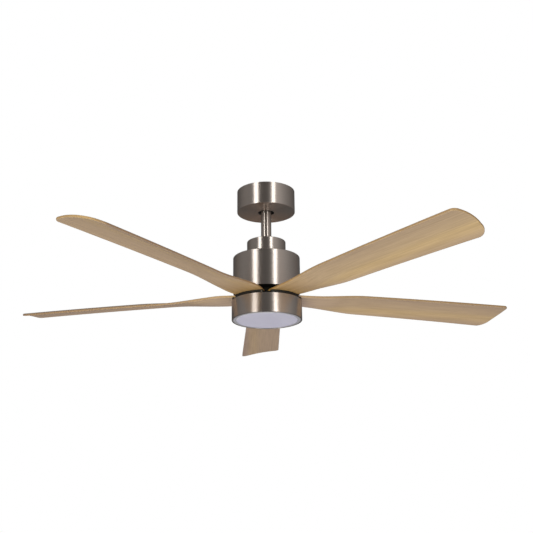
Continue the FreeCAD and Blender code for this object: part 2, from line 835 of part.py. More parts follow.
def first_gap():
    """Azimuth of the gap between the first two blades."""
    return number("first_blade_angle") + 180.0 / number("blade_count")


def magnets():
    case_inner = number("rotor_radius") - number("rotor_wall")
    low = -number("stator_top") - number("stator_height") - 2
    ring = ring_solid(case_inner - 5.0, case_inner - 0.1, low, low + number("stator_height") + 4)
    half = math.radians(12.0)
    reach = 100.0
    corners = [FreeCAD.Vector(0, 0, low - 1),
               FreeCAD.Vector(reach * math.cos(half), -reach * math.sin(half), low - 1),
               FreeCAD.Vector(reach * math.cos(half), reach * math.sin(half), low - 1),
               FreeCAD.Vector(0, 0, low - 1)]
    wedge = Part.Face(Part.makePolygon(corners)).extrude(FreeCAD.Vector(0, 0, 40))
    group("rotor_magnets", around(ring.common(wedge), 14))


BLADE_SCREW_PLACES = ((58.0, -18.0), (58.0, 18.0), (74.0, 0.0))
BLADE_SCREW_SINK = 2.8
HUB_SCREW_SINK = 3.0


def blade_screw_points():
    """The blade screws' places on the hub, three for each blade."""
    points = []
    for i in range(int(number("blade_count"))):
        turn = FreeCAD.Rotation(UP, number("first_blade_angle") + i * 360.0 / number("blade_count"))
        for x, y in BLADE_SCREW_PLACES:
            points.append(turn.multVec(FreeCAD.Vector(x, y, 0)))
    return points


def blade_hub():
    """Black cast hub: a disc under the blade roots and a boss that bolts to the rotor."""
    low = -dims.hub_bottom
    seat = -dims.blade_seat
    body = turned("hub_cast", [
        (16, low),
        (dims.hub_radius, low),
        (dims.hub_radius, seat),
        (dims.boss_radius, seat),
        (dims.boss_radius, -dims.rotor_bottom),
        (36, -dims.rotor_bottom),
        (36, seat),
        (16, seat),
    ])
    round_edges(body, [(dims.hub_radius, low)], dims.edge_round)
    way = M4_RADIUS + dims.fit_play
    cutters = bolt_cylinders("hub_bolt_way", HUB_SCREW_RING, way,
                             low - 1, -dims.rotor_bottom + 1, 5, first_gap())
    cutters += bolt_cylinders("hub_bolt_head", HUB_SCREW_RING, SCREW_HEAD_SPACE,
                              low - 1, low + HUB_SCREW_SINK, 5, first_gap())
    for i, point in enumerate(blade_screw_points()):
        cutters.append(cylinder(f"hub_screw_way{i}", way, low - 1, seat + 1, point.x, point.y))
        cutters.append(cylinder(f"hub_screw_head{i}", SCREW_HEAD_SPACE, low - 1, low + BLADE_SCREW_SINK,
                                point.x, point.y))
    lock_angle = number("first_blade_angle") + LOCK_SCREW_TURN
    lock_height = -number("hub_bottom") + 1.9
    cutters.append(crosswise("hub_lock_way", LOCK_SCREW_RADIUS + dims.fit_play,
                             LOCK_SCREW_START - 0.5, 90, lock_height, lock_angle))
    cutters.append(hub_notches())
    node(cut("blade_hub", body, cutters), "blade_hub")

    out = FreeCAD.Vector(math.cos(math.radians(lock_angle)), math.sin(math.radians(lock_angle)), 0)
    lock = Part.makeCylinder(LOCK_SCREW_RADIUS, 8.5)
    lock = lock.cut(Part.makeCylinder(0.7, 2.0, FreeCAD.Vector(0, 0, 6.5)))
    group("hub_lock_screw", [pointed(lock, out, out * LOCK_SCREW_START + UP * lock_height)])


def hub_notches():
    """Cutters that open the hub's disc between the blade roots, following their rounded corners."""
    low = -number("hub_bottom") - 1
    corners = [FreeCAD.Vector(58, -6, low), FreeCAD.Vector(58, 1.5, low), FreeCAD.Vector(88, 11, low),
               FreeCAD.Vector(88, -13, low), FreeCAD.Vector(58, -6, low)]
    notch = Part.Face(Part.makePolygon(corners)).extrude(FreeCAD.Vector(0, 0, 10))
    tool = doc.addObject("Part::Feature", "hub_notches")
    tool.Shape = Part.makeCompound(around(notch, int(number("blade_count")), first_gap()))
    return tool


def hub_screws():
    low = -number("hub_bottom") + HUB_SCREW_SINK
    screw = pan_screw(4.0, 2.4, M4_RADIUS, -number("rotor_bottom") + 2.8 - low)
    screw = moved(screw, HUB_SCREW_RING, 0, low)
    group("hub_screws", around(screw, 5, first_gap()))


def blade_screws():
    low = -number("hub_bottom") + BLADE_SCREW_SINK
    clamp_top = -number("blade_seat") + number("blade_thickness") + CLAMP_THICKNESS
    screw = pan_screw(4.0, 2.4, M4_RADIUS, clamp_top - low)
    group("blade_screws", [moved(screw, p.x, p.y, low) for p in blade_screw_points()])


def clamp_plates():
    """Threaded steel plate on each blade root, above the hub's disc."""
    low = -number("blade_seat") + number("blade_thickness")
    high = low + CLAMP_THICKNESS
    inner = 50.0
    outer = 81.0
    half_width = 27.0
    plate = Part.makeBox(30, 2 * half_width, high - low, FreeCAD.Vector(inner, -half_width, low))
    plate = plate.common(ring_solid(inner, outer, low, high))
    for x, y in BLADE_SCREW_PLACES:
        plate = plate.cut(rod_solid(M4_RADIUS + 0.05, low - 1, high + 1, x, y))
    group("clamp_plates", around(plate, int(number("blade_count")), number("first_blade_angle")))


# ---------------------------------------------------------------- blades

TWIST_START = 90.0
TWIST_END = 250.0
STRAIGHT_START = 130.0           # where the blade's two long edges start
CAMBER_START = 170.0
CAMBER_END = 330.0
ROOT_DISH = 2.8
ROOT_DISH_END = 215.0
ROOT_INNER = 47.5
LOFT_MARGIN = 2.5                # how far the loft runs past the outline that trims it


def ease(value, start, end):
    """Smooth step from zero at start to one at end."""
    ratio = min(1.0, max(0.0, (value - start) / (end - start)))
    return ratio * ratio * (3.0 - 2.0 * ratio)


def edge_width(side, reach):
    """Width from the blade's line to its "lead" or "trail" edge, which grows towards the tip."""
    root = number(f"blade_{side}_width")
    tip = number(f"blade_{side}_tip")
    ratio = (reach - STRAIGHT_START) / (number("blade_length") - STRAIGHT_START)
    return root + (tip - root) * max(0.0, ratio)


def blade_point(reach, across):
    """Middle surface of a blade: reach along its line, across it from -1 leading to 1 trailing."""
    lead = edge_width("lead", reach)
    trail = edge_width("trail", reach)
    side = (trail + LOFT_MARGIN) * across if across > 0 else (lead + LOFT_MARGIN) * across
    ratio = max(0.0, reach - TWIST_START) / (number("blade_length") - TWIST_START)
    rise = number("blade_rise") * math.sin(0.5 * math.pi * ratio)
    tilt = math.radians(number("blade_pitch")) * ease(reach, TWIST_START, TWIST_END)
    dish_ratio = min(1.0, max(0.0, (reach - TWIST_START) / (ROOT_DISH_END - TWIST_START)))
    camber = number("blade_camber") * ease(reach, CAMBER_START, CAMBER_END)
    camber -= ROOT_DISH * math.sin(math.pi * dish_ratio) ** 2
    chord_ratio = (side + lead) / (trail + lead)
    arch = camber * (1.0 - (2.0 * chord_ratio - 1.0) ** 2)
    middle = -number("blade_seat") + number("blade_thickness") / 2
    height = middle + rise - math.tan(tilt) * side + arch
    return FreeCAD.Vector(reach, side, height)


def blade_section(reach):
    """Closed section across the blade: curved top and bottom, straight edges."""
    half = number("blade_thickness") / 2
    spans = [-1.0, -0.66, -0.33, 0.0, 0.33, 0.66, 1.0]
    middle = [blade_point(reach, span) for span in spans]
    top = [point + UP * half for point in middle]
    bottom = [point - UP * half for point in reversed(middle)]
    upper = Part.BSplineCurve()
    upper.interpolate(top)
    lower = Part.BSplineCurve()
    lower.interpolate(bottom)
    edges = [upper.toShape(), Part.makeLine(top[-1], bottom[0]),
             lower.toShape(), Part.makeLine(bottom[-1], top[0])]
    return Part.Wire(edges)


def blade_outline():
    """Plan of a blade: tight leading corner and full trailing corner at the tip, wedge-shaped root."""
    tip = number("blade_length")
    lead = number("blade_lead_tip")
    trail = number("blade_trail_tip")

    def at(x, y):
        return FreeCAD.Vector(x, y, -320)

    root_lead = at(STRAIGHT_START, -number("blade_lead_width"))
    root_trail = at(STRAIGHT_START + 5, number("blade_trail_width"))
    root_lead_corner = at(ROOT_INNER + 4, -35.4)
    root_trail_corner = at(ROOT_INNER + 6, 31)
    tip_lead = at(tip - 20, -lead)
    tip_nose = at(tip - 2, -lead + 18)
    tip_side = at(tip - 7, 33)
    tip_trail = at(tip - 44, trail)
    edges = [
        Part.makeLine(root_lead, tip_lead),
        Part.Arc(tip_lead, at(tip - 6.5, -lead + 5), tip_nose).toShape(),
        Part.Arc(tip_nose, at(tip, -6), tip_side).toShape(),
        Part.Arc(tip_side, at(tip - 17, 49), tip_trail).toShape(),
        Part.makeLine(tip_trail, root_trail),
        Part.Arc(root_trail, at(82, 40.3), root_trail_corner).toShape(),
        Part.Arc(root_trail_corner, at(ROOT_INNER, 0), root_lead_corner).toShape(),
        Part.Arc(root_lead_corner, at(80, -39), root_lead).toShape(),
    ]
    face = Part.Face(Part.Wire(edges))
    return face.extrude(FreeCAD.Vector(0, 0, 100))


def blades():
    """Five pitched, slightly cambered blades with flat roots."""
    sections = [blade_section(reach) for reach in range(25, 685, 25)]
    solid = Part.makeLoft(sections, True, False, False, 3)
    solid = solid.common(blade_outline())
    seat = -number("blade_seat")
    solid = solid.cut(rod_solid(number("hub_radius") + 2, seat - 30, seat))
    solid = solid.cut(rod_solid(number("hub_radius") + 2, seat + number("blade_thickness"), seat + 30))
    for x, y in BLADE_SCREW_PLACES:
        solid = solid.cut(rod_solid(M4_RADIUS + 0.05, -300, -250, x, y))
    solid = max(solid.Solids, key=lambda piece: piece.Volume)
    count = int(number("blade_count"))
    for i in range(count):
        feature = doc.addObject("Part::Feature", f"blade_{i + 1}")
        feature.Shape = solid
        turn = FreeCAD.Rotation(UP, number("first_blade_angle") + i * 360.0 / count)
        feature.Placement = FreeCAD.Placement(FreeCAD.Vector(), turn)
        node(feature, f"blade_{i + 1}")


# ---------------------------------------------------------------- light

LIGHT_SCREW_RING = 50.0
LIGHT_DISC_THICKNESS = 2.5
LED_POST_RING = 64.0
LED_BOARD_TOP = -303.4


def light_plate():
    """Steel disc on the shaft's end that the light screws to, with its two nuts."""
    low = -dims.light_floor
    high = low + LIGHT_DISC_THICKNESS
    disc = cylinder("light_disc", 60, low, high)
    bore = cylinder("light_disc_bore", dims.shaft_radius + dims.fit_play, low - 1, high + 1)
    ways = bolt_cylinders("light_disc_way", LIGHT_SCREW_RING, M4_RADIUS + dims.fit_play,
                          low - 1, high + 1, 3, 90)
    node(cut("light_plate", disc, [bore] + ways), "light_plate")

    floor = -number("light_floor")
    disc_top = floor + LIGHT_DISC_THICKNESS
    nut_size = 24.0
    bore = rod_solid(number("shaft_radius") + 0.05, floor - 20, floor + 20)
    upper = hexagon(nut_size, disc_top, disc_top + 3.5).cut(bore)
    lower = hexagon(nut_size, floor - 5, floor).cut(bore)
    group("light_nuts", [upper, lower])


def light_housing():
    """Drum of the light: open top round the plate, floor inside, turned-in lip at the bottom."""
    floor = -dims.light_floor
    low = -dims.light_bottom
    wall = dims.housing_skin
    inner = dims.light_radius - wall
    lip = dims.light_radius - dims.light_lip
    floor_hole = 20
    body = turned("drum_blank", [
        (floor_hole, floor - wall),
        (inner, floor - wall),
        (inner, low + wall),
        (lip, low + wall),
        (lip, low),
        (dims.light_radius, low),
        (dims.light_radius, -dims.light_top),
        (inner, -dims.light_top),
        (inner, floor),
        (floor_hole, floor),
    ])
    round_edges(body, [(dims.light_radius, low)], dims.edge_round)
    ways = bolt_cylinders("drum_screw_way", LIGHT_SCREW_RING, M4_RADIUS + dims.fit_play,
                          floor - 5, floor + 5, 3, 90)
    ways += bolt_cylinders("drum_post_way", LED_POST_RING, M3_RADIUS + dims.fit_play,
                           floor - 5, floor + 5, 3, 30)
    node(cut("light_housing", body, ways), "light_housing")


def light_screws():
    under = -number("light_floor") - number("housing_skin")
    screw = moved(pan_screw(3.8, 2.2, M4_RADIUS, 4.4), LIGHT_SCREW_RING, 0, under - 0.02)
    group("light_screws", around(screw, 3, 90))


def led_parts():
    """Board of light chips hung on three posts, with its driver and the wires' plug above it."""
    floor_under = -number("light_floor") - number("housing_skin")
    top = LED_BOARD_TOP
    under = top - CIRCUIT_THICKNESS
    disc = cylinder("led_disc", 72, under, top)
    ways = bolt_cylinders("led_post_way", LED_POST_RING, M3_RADIUS + dims.fit_play, under - 1, top + 1, 3, 30)
    node(cut("led_board", disc, ways), "led_board")

    chip_side = 3.0
    chip_height = 0.8
    chips = []
    for ring, count in ((16, 6), (34, 12), (52, 18)):
        corner = FreeCAD.Vector(ring - 0.5 * chip_side, -0.5 * chip_side, under - chip_height)
        chips += around(Part.makeBox(chip_side, chip_side, chip_height, corner), count)
    group("led_chips", chips)

    post = rod_solid(POST_RADIUS, top, floor_under).fuse(rod_solid(M3_RADIUS, under - 1.2, top))
    post = post.fuse(rod_solid(M3_RADIUS, floor_under, floor_under + number("housing_skin")))
    post = post.removeSplitter()
    post.translate(FreeCAD.Vector(LED_POST_RING, 0, 0))
    group("led_posts", around(post, 3, 30))

    node(block("driver_case", (-30, -60, top), (30, -24, top + 10)), "led_driver")
    plug = Part.makeBox(10, 10, 4, FreeCAD.Vector(-5, -5, top + 0.4))
    group("light_plug", [plug])


def diffuser():
    """Opal disc held by its flange above the housing's lip, with a satin ring round its face."""
    low = -dims.light_bottom + 0.2
    flange_low = -dims.light_bottom + dims.housing_skin + 0.1
    flange_radius = dims.light_radius - dims.housing_skin - 0.2
    face = dims.diffuser_radius
    body = turned("diffuser_blank", [
        (0, low),
        (face, low),
        (face, flange_low),
        (flange_radius, flange_low),
        (flange_radius, flange_low + dims.diffuser_wall),
        (face - dims.diffuser_wall, flange_low + dims.diffuser_wall),
        (face - dims.diffuser_wall, low + dims.diffuser_wall),
        (0, low + dims.diffuser_wall),
    ])
    node(round_edges(body, [(face, low)], 0.8), "diffuser")

    ring_inner = face + 0.2
    ring_outer = dims.light_radius - dims.light_lip - 0.2
    ring = turned("ring_blank", [
        (ring_inner, flange_low - 1),
        (ring_outer, flange_low - 1),
        (ring_outer, flange_low),
        (ring_inner, flange_low),
    ])
    node(ring, "diffuser_ring")

    flange_top = (flange_low + dims.diffuser_wall).value
    wall = number("light_radius") - number("housing_skin")
    clip = Part.makeBox(6, 10, 3.0, FreeCAD.Vector(wall - 6.6, -5, flange_top + 0.05))
    upright = Part.makeBox(1.2, 10, 12, FreeCAD.Vector(wall - 1.8, -5, flange_top + 0.05))
    group("diffuser_clips", around(clip.fuse(upright).removeSplitter(), 3, 60))


# ---------------------------------------------------------------- wires

def wires():
    """Four insulated leads from the canopy through the rod and the hollow shaft to the light."""
    spread = 3.7
    radius = 1.1
    bottom = -298.4
    top = -8.0
    solids = []
    for x in (-spread, spread):
        for y in (-spread, spread):
            solids.append(rod_solid(radius, bottom, top, x, y))
    group("rod_wires", solids)


# ---------------------------------------------------------------- build and write

def build_fan():
    ceiling_bracket()
    canopy()
    canopy_screws()
    receiver_box()
    terminal_block()
    ball_seat_ring()
    hanger_ball()
    downrod()
    rod_pins()
    coupling_clip()
    motor_coupling()
    coupling_set_screws()
    coupling_cover()
    motor_housing()
    motor_plate()
    housing_bolts()
    motor_shaft()
    shaft_circlips()
    controller_board()
    stator()
    bearings()
    rotor_case()
    rotor_cover()
    magnets()
    blade_hub()
    hub_screws()
    blade_screws()
    clamp_plates()
    blades()
    light_plate()
    light_housing()
    light_screws()
    led_parts()
    diffuser()
    wires()


def check_and_write():
    doc.recompute()
    for obj in doc.Objects:
        if "Invalid" in obj.State or "Error" in obj.State:
            raise RuntimeError(f"{obj.Name} failed: {obj.State}")
    for obj in NODES:
        if obj.Shape.isNull() or not obj.Shape.isValid():
            raise RuntimeError(f"{obj.Label} has no valid shape")
    os.makedirs("parts", exist_ok=True)
    for obj in NODES:
        obj.Shape.exportStep(f"parts/{obj.Label}.step")
        box = obj.Shape.BoundBox
        print(f"{obj.Label}: {len(obj.Shape.Solids)} solids, {obj.Shape.Volume / 1000:.2f} cm3, "
              f"z {box.ZMin:.1f} to {box.ZMax:.1f}")
    print(f"{len(NODES)} nodes")


build_fan()
check_and_write()
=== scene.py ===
import json
import math

import bpy
import bmesh
from mathutils import Matrix, Vector
from mathutils.geometry import delaunay_2d_cdt


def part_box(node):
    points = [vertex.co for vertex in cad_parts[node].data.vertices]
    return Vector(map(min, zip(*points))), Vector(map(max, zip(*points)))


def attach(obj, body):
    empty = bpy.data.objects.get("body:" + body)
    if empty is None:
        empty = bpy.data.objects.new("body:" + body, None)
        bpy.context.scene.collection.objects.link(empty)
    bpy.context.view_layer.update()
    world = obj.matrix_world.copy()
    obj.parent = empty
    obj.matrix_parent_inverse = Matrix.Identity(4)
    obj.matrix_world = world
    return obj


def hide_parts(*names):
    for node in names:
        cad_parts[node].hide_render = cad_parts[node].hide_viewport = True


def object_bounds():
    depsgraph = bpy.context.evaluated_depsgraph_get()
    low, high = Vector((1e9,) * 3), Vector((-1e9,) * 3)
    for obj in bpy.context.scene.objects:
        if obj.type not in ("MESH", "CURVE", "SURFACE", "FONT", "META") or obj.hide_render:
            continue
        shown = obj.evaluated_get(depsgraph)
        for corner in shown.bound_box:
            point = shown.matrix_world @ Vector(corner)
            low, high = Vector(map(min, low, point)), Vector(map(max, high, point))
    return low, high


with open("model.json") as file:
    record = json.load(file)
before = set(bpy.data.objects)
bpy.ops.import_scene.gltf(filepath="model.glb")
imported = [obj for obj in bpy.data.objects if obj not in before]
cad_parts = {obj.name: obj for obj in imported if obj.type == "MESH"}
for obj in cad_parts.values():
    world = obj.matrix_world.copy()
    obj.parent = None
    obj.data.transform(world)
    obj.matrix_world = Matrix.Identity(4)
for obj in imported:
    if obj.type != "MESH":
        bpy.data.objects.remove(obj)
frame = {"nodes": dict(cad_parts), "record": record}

CAD_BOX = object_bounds()
MM = 0.001

BLADE_COUNT = 5
FIRST_BLADE_ANGLE = math.radians(-52.7)
FAN_CENTRE = Vector((0.0, 0.0, 0.5 * (CAD_BOX[0].z + CAD_BOX[1].z)))


# ---------------------------------------------------------------- camera, light and floor

def make_camera():
    """Looks up at the fan from 2.2 m in front and 0.6 m below the blades."""
    place = (0.0, -2.204, -0.9003)
    pitch = math.radians(17.78)
    roll = math.radians(-0.5)
    data = bpy.data.cameras.new("camera")
    data.lens = 64.27
    data.sensor_width = 36.0
    data.clip_end = 50.0
    camera = bpy.data.objects.new("camera", data)
    bpy.context.scene.collection.objects.link(camera)
    forward = Vector((0.0, math.cos(pitch), math.sin(pitch)))
    right = Vector((1.0, 0.0, 0.0))
    up = right.cross(forward)
    tilted_right = math.cos(roll) * right + math.sin(roll) * up
    tilted_up = -math.sin(roll) * right + math.cos(roll) * up
    turn = Matrix((tilted_right, tilted_up, -forward)).transposed().to_4x4()
    camera.matrix_world = Matrix.Translation(place) @ turn
    bpy.context.scene.camera = camera


def around_fan(azimuth, distance, height):
    """A point round the fan: azimuth in degrees from the front, positive to the right."""
    angle = math.radians(azimuth)
    return Vector((distance * math.sin(angle), -distance * math.cos(angle), height))


def soft_box(name, place, target, width, height, radiance, color, mirrored):
    """A rectangular soft light of the given radiance, for mirrored rays only or for diffuse rays only."""
    data = bpy.data.lights.new(name, "AREA")
    data.shape = "RECTANGLE"
    data.size = width
    data.size_y = height
    data.color = color
    data.energy = radiance * math.pi * width * height
    lamp = bpy.data.objects.new(name, data)
    bpy.context.scene.collection.objects.link(lamp)
    lamp.location = place
    lamp.rotation_euler = (target - place).to_track_quat("-Z", "Y").to_euler()
    lamp.visible_glossy = mirrored
    lamp.visible_diffuse = not mirrored


def make_lights():
    """Two tall strips that the metal mirrors, and two broad fills that light the matt surfaces."""
    strip_height = 5.0
    strip_middle = -0.2
    strip_distance = 2.6
    strip_radiance = 4.0
    cool_white = (0.95, 0.99, 1.0)
    for side, azimuth, width in (("left", -38.7, 0.68), ("right", 29.7, 0.49)):
        place = around_fan(azimuth, strip_distance, strip_middle)
        level_target = Vector((0.0, 0.0, strip_middle))
        soft_box(f"strip_{side}", place, level_target, width, strip_height,
                 strip_radiance, cool_white, mirrored=True)
    soft_box("front_fill", around_fan(-12.0, 3.2, -1.15), FAN_CENTRE, width=1.6, height=1.0,
             radiance=18.5, color=(0.98, 1.0, 0.525), mirrored=False)
    soft_box("under_fill", Vector((0.0, 0.0, -3.0)), FAN_CENTRE, width=4.0, height=4.0,
             radiance=0.55, color=(1.0, 0.96, 0.92), mirrored=False)


def make_world():
    """White for the camera, a glow for matt surfaces, and dim walls for mirrored rays."""
    world = bpy.data.worlds.new("studio")
    bpy.context.scene.world = world
    world.use_nodes = True
    tree = world.node_tree
    tree.nodes.clear()
    direction = add(tree, "ShaderNodeTexCoord").outputs["Generated"]
    parts = add(tree, "ShaderNodeSeparateXYZ", {0: direction})
    towards_front = calc(tree, "MULTIPLY", parts.outputs["Y"], -1.0)
    azimuth = calc(tree, "ARCTAN2", parts.outputs["X"], towards_front)
    along = calc(tree, "MULTIPLY_ADD", azimuth, 0.5 / math.pi, 0.5)
    walls = ramp(tree, along, WALL_STOPS)
    glow = ramp(tree, along, GLOW_STOPS)
    rays = add(tree, "ShaderNodeLightPath")
    glowing = mix(tree, rays.outputs["Is Diffuse Ray"], walls, glow)
    backdrop = mix(tree, rays.outputs["Is Camera Ray"], glowing, (1.0, 1.0, 1.0, 1.0))
    background = add(tree, "ShaderNodeBackground", {"Color": backdrop})
    output = add(tree, "ShaderNodeOutputWorld")
    tree.links.new(background.outputs[0], output.inputs["Surface"])


def wall_stop(azimuth, grey):
    """One stop of the wall ramp: azimuth in degrees from the front, and a grey."""
    return (azimuth / 360.0 + 0.5, (grey, grey, grey, 1.0))


WALL_STOPS = [
    wall_stop(-180, 0.11), wall_stop(-140, 0.11), wall_stop(-105, 0.22), wall_stop(-85, 0.26),
    wall_stop(-55, 0.24), wall_stop(-30, 0.14), wall_stop(-10, 0.11), wall_stop(12, 0.12),
    wall_stop(30, 0.30), wall_stop(45, 0.55), wall_stop(56, 0.50), wall_stop(75, 0.37),
    wall_stop(95, 0.27), wall_stop(125, 0.17), wall_stop(150, 0.12), wall_stop(180, 0.11)]

# the glow's stops run once round the fan: 0 and 1 behind it, 0.5 in front of it
GLOW_BEHIND = (0.70, 0.74, 0.92, 1.0)
GLOW_BESIDE = (0.68, 0.70, 0.86, 1.0)
GLOW_FRONT = (0.50, 0.44, 0.36, 1.0)
GLOW_STOPS = [
    (0.0, GLOW_BEHIND), (0.25, GLOW_BESIDE), (0.42, GLOW_FRONT),
    (0.58, GLOW_FRONT), (0.75, GLOW_BESIDE), (1.0, GLOW_BEHIND)]


def make_floor():
    """A plain pale floor, a room's height below the ceiling."""
    floor_level = -3.3
    floor_size = 60.0
    bpy.ops.mesh.primitive_plane_add(size=floor_size, location=(0.0, 0.0, floor_level))
    floor = bpy.context.object
    floor.name = "floor"
    paint = Finish("pale_floor", (0.92, 0.92, 0.91), 0.9)
    floor.data.materials.append(paint.material)
    floor.visible_glossy = False
    floor.visible_diffuse = False


# ---------------------------------------------------------------- node helpers

def add(tree, kind, inputs=None, **settings):
    """Adds a node, sets its settings and fills its inputs with links or values."""
    node = tree.nodes.new(kind)
    for name, value in settings.items():
        setattr(node, name, value)
    for key, value in (inputs or {}).items():
        if isinstance(value, bpy.types.NodeSocket):
            tree.links.new(value, node.inputs[key])
        else:
            node.inputs[key].default_value = value
    return node


def calc(tree, operation, *values, clamp=False):
    """A math node's result."""
    inputs = dict(enumerate(values))
    return add(tree, "ShaderNodeMath", inputs, operation=operation, use_clamp=clamp).outputs[0]


def ramp(tree, factor, stops):
    """A colour ramp over (position, colour) stops."""
    node = add(tree, "ShaderNodeValToRGB", {0: factor})
    elements = node.color_ramp.elements
    while len(elements) < len(stops):
        elements.new(0.5)
    for element, (position, color) in zip(elements, stops):
        element.position = position
        element.color = color
    return node.outputs["Color"]


def mix(tree, factor, first, second, blend="MIX"):
    """Mixes two colours."""
    node = add(tree, "ShaderNodeMix", data_type="RGBA", blend_type=blend)
    for socket, value in ((node.inputs[0], factor), (node.inputs[6], first), (node.inputs[7], second)):
        if isinstance(value, bpy.types.NodeSocket):
            tree.links.new(value, socket)
        else:
            socket.default_value = value
    return node.outputs[2]


def rgba(color):
    """A colour with full alpha."""
    return (*color, 1.0)


def shade(color, factor):
    """A colour made lighter or darker."""
    return tuple(min(1.0, part * factor) for part in color)


class Finish:
    """A procedural material built on one principled shader, with its own object coordinates."""

    def __init__(self, name, color, roughness, metallic=0.0, **constants):
        self.material = bpy.data.materials.new(name)
        self.material.use_nodes = True
        self.tree = self.material.node_tree
        self.surface = self.tree.nodes["Principled BSDF"]
        self.color = color
        self.roughness = roughness
        self.surface.inputs["Base Color"].default_value = rgba(color)
        self.surface.inputs["Roughness"].default_value = roughness
        self.surface.inputs["Metallic"].default_value = metallic
        for socket, value in constants.items():
            self.surface.inputs[socket].default_value = value
        self.point = add(self.tree, "ShaderNodeTexCoord").outputs["Object"]

    def feed(self, socket, value):
        self.tree.links.new(value, self.surface.inputs[socket])

    def stretched(self, scale):
        """The object coordinates, scaled by a different amount along each axis."""
        node = add(self.tree, "ShaderNodeVectorMath", {0: self.point, 1: scale}, operation="MULTIPLY")
        return node.outputs[0]

    def round_axis(self, turns, rings):
        """Coordinates that run slowly round Z and fast along Z and outwards."""
        parts = add(self.tree, "ShaderNodeSeparateXYZ", {0: self.point})
        x, y, z = parts.outputs
        angle = calc(self.tree, "ARCTAN2", y, x)
        radius = calc(self.tree, "SQRT", calc(self.tree, "ADD",
                      calc(self.tree, "MULTIPLY", x, x), calc(self.tree, "MULTIPLY", y, y)))
        joined = add(self.tree, "ShaderNodeCombineXYZ", {
            0: calc(self.tree, "MULTIPLY", calc(self.tree, "SINE", angle), turns),
            1: calc(self.tree, "MULTIPLY", calc(self.tree, "COSINE", angle), turns),
            2: calc(self.tree, "MULTIPLY", calc(self.tree, "ADD", z, radius), rings)})
        return joined.outputs[0]

    def noise(self, vector, scale, detail=4.0, roughness=0.55):
        node = add(self.tree, "ShaderNodeTexNoise",
                   {"Vector": vector, "Scale": scale, "Detail": detail, "Roughness": roughness})
        return node.outputs[0]

    def vary_color(self, factor, low, high):
        """Shifts the colour between two shades of itself."""
        stops = [(0.3, rgba(shade(self.color, low))), (0.7, rgba(shade(self.color, high)))]
        self.feed("Base Color", ramp(self.tree, factor, stops))

    def vary_roughness(self, factor, spread):
        """Moves the roughness up and down by the given spread."""
        value = calc(self.tree, "MULTIPLY_ADD", factor, 2.0 * spread, self.roughness - spread, clamp=True)
        self.feed("Roughness", value)

    def bump(self, height, distance, strength=1.0):
        """Raises the surface by the given distance in metres."""
        node = add(self.tree, "ShaderNodeBump",
                   {"Height": height, "Distance": distance, "Strength": strength})
        self.feed("Normal", node.outputs[0])


# ---------------------------------------------------------------- materials

def turned_metal(name, color, roughness, anisotropy):
    """Metal brushed round the fan's axis, so that its highlights run along the axis."""
    quarter_turn = 0.25
    streaks = 0.06
    finish = Finish(name, color, roughness, metallic=1.0, Anisotropic=anisotropy)
    finish.surface.inputs["Anisotropic Rotation"].default_value = quarter_turn
    tangent = add(finish.tree, "ShaderNodeTangent", direction_type="RADIAL", axis="Z")
    finish.feed("Tangent", tangent.outputs[0])
    scratches = finish.noise(finish.round_axis(0.6, 900.0), 1.0, detail=3.0)
    clouds = finish.noise(finish.round_axis(3.0, 25.0), 1.0)
    both = calc(finish.tree, "MULTIPLY_ADD", scratches, 0.6, calc(finish.tree, "MULTIPLY", clouds, 0.4))
    finish.vary_color(both, 1.0 - streaks, 1.0 + streaks)
    finish.vary_roughness(both, 0.05)
    finish.bump(scratches, 0.00001)
    return finish.material


def plain_metal(name, color, roughness, grain=0.08, bump=0.00001, scale=350.0):
    """Plated, ground or cast metal with fine uneven grain."""
    finish = Finish(name, color, roughness, metallic=1.0)
    speckle = finish.noise(finish.point, scale)
    clouds = finish.noise(finish.point, scale / 12.0)
    both = calc(finish.tree, "MULTIPLY_ADD", speckle, 0.5, calc(finish.tree, "MULTIPLY", clouds, 0.5))
    finish.vary_color(both, 1.0 - grain, 1.0 + grain)
    finish.vary_roughness(clouds, 0.08)
    finish.bump(speckle, bump)
    return finish.material


def moulded(name, color, roughness, tone=0.05, bump=0.00002, scale=900.0):
    """Moulded plastic, paint or lacquer with a fine orange-peel skin."""
    finish = Finish(name, color, roughness)
    skin = finish.noise(finish.point, scale, detail=2.0)
    clouds = finish.noise(finish.point, 18.0)
    finish.vary_color(clouds, 1.0 - tone, 1.0 + tone)
    finish.vary_roughness(clouds, 0.05)
    finish.bump(skin, bump)
    return finish.material


WOOD_SPAN = 120 * MM             # the width that the wood's tones are spread over


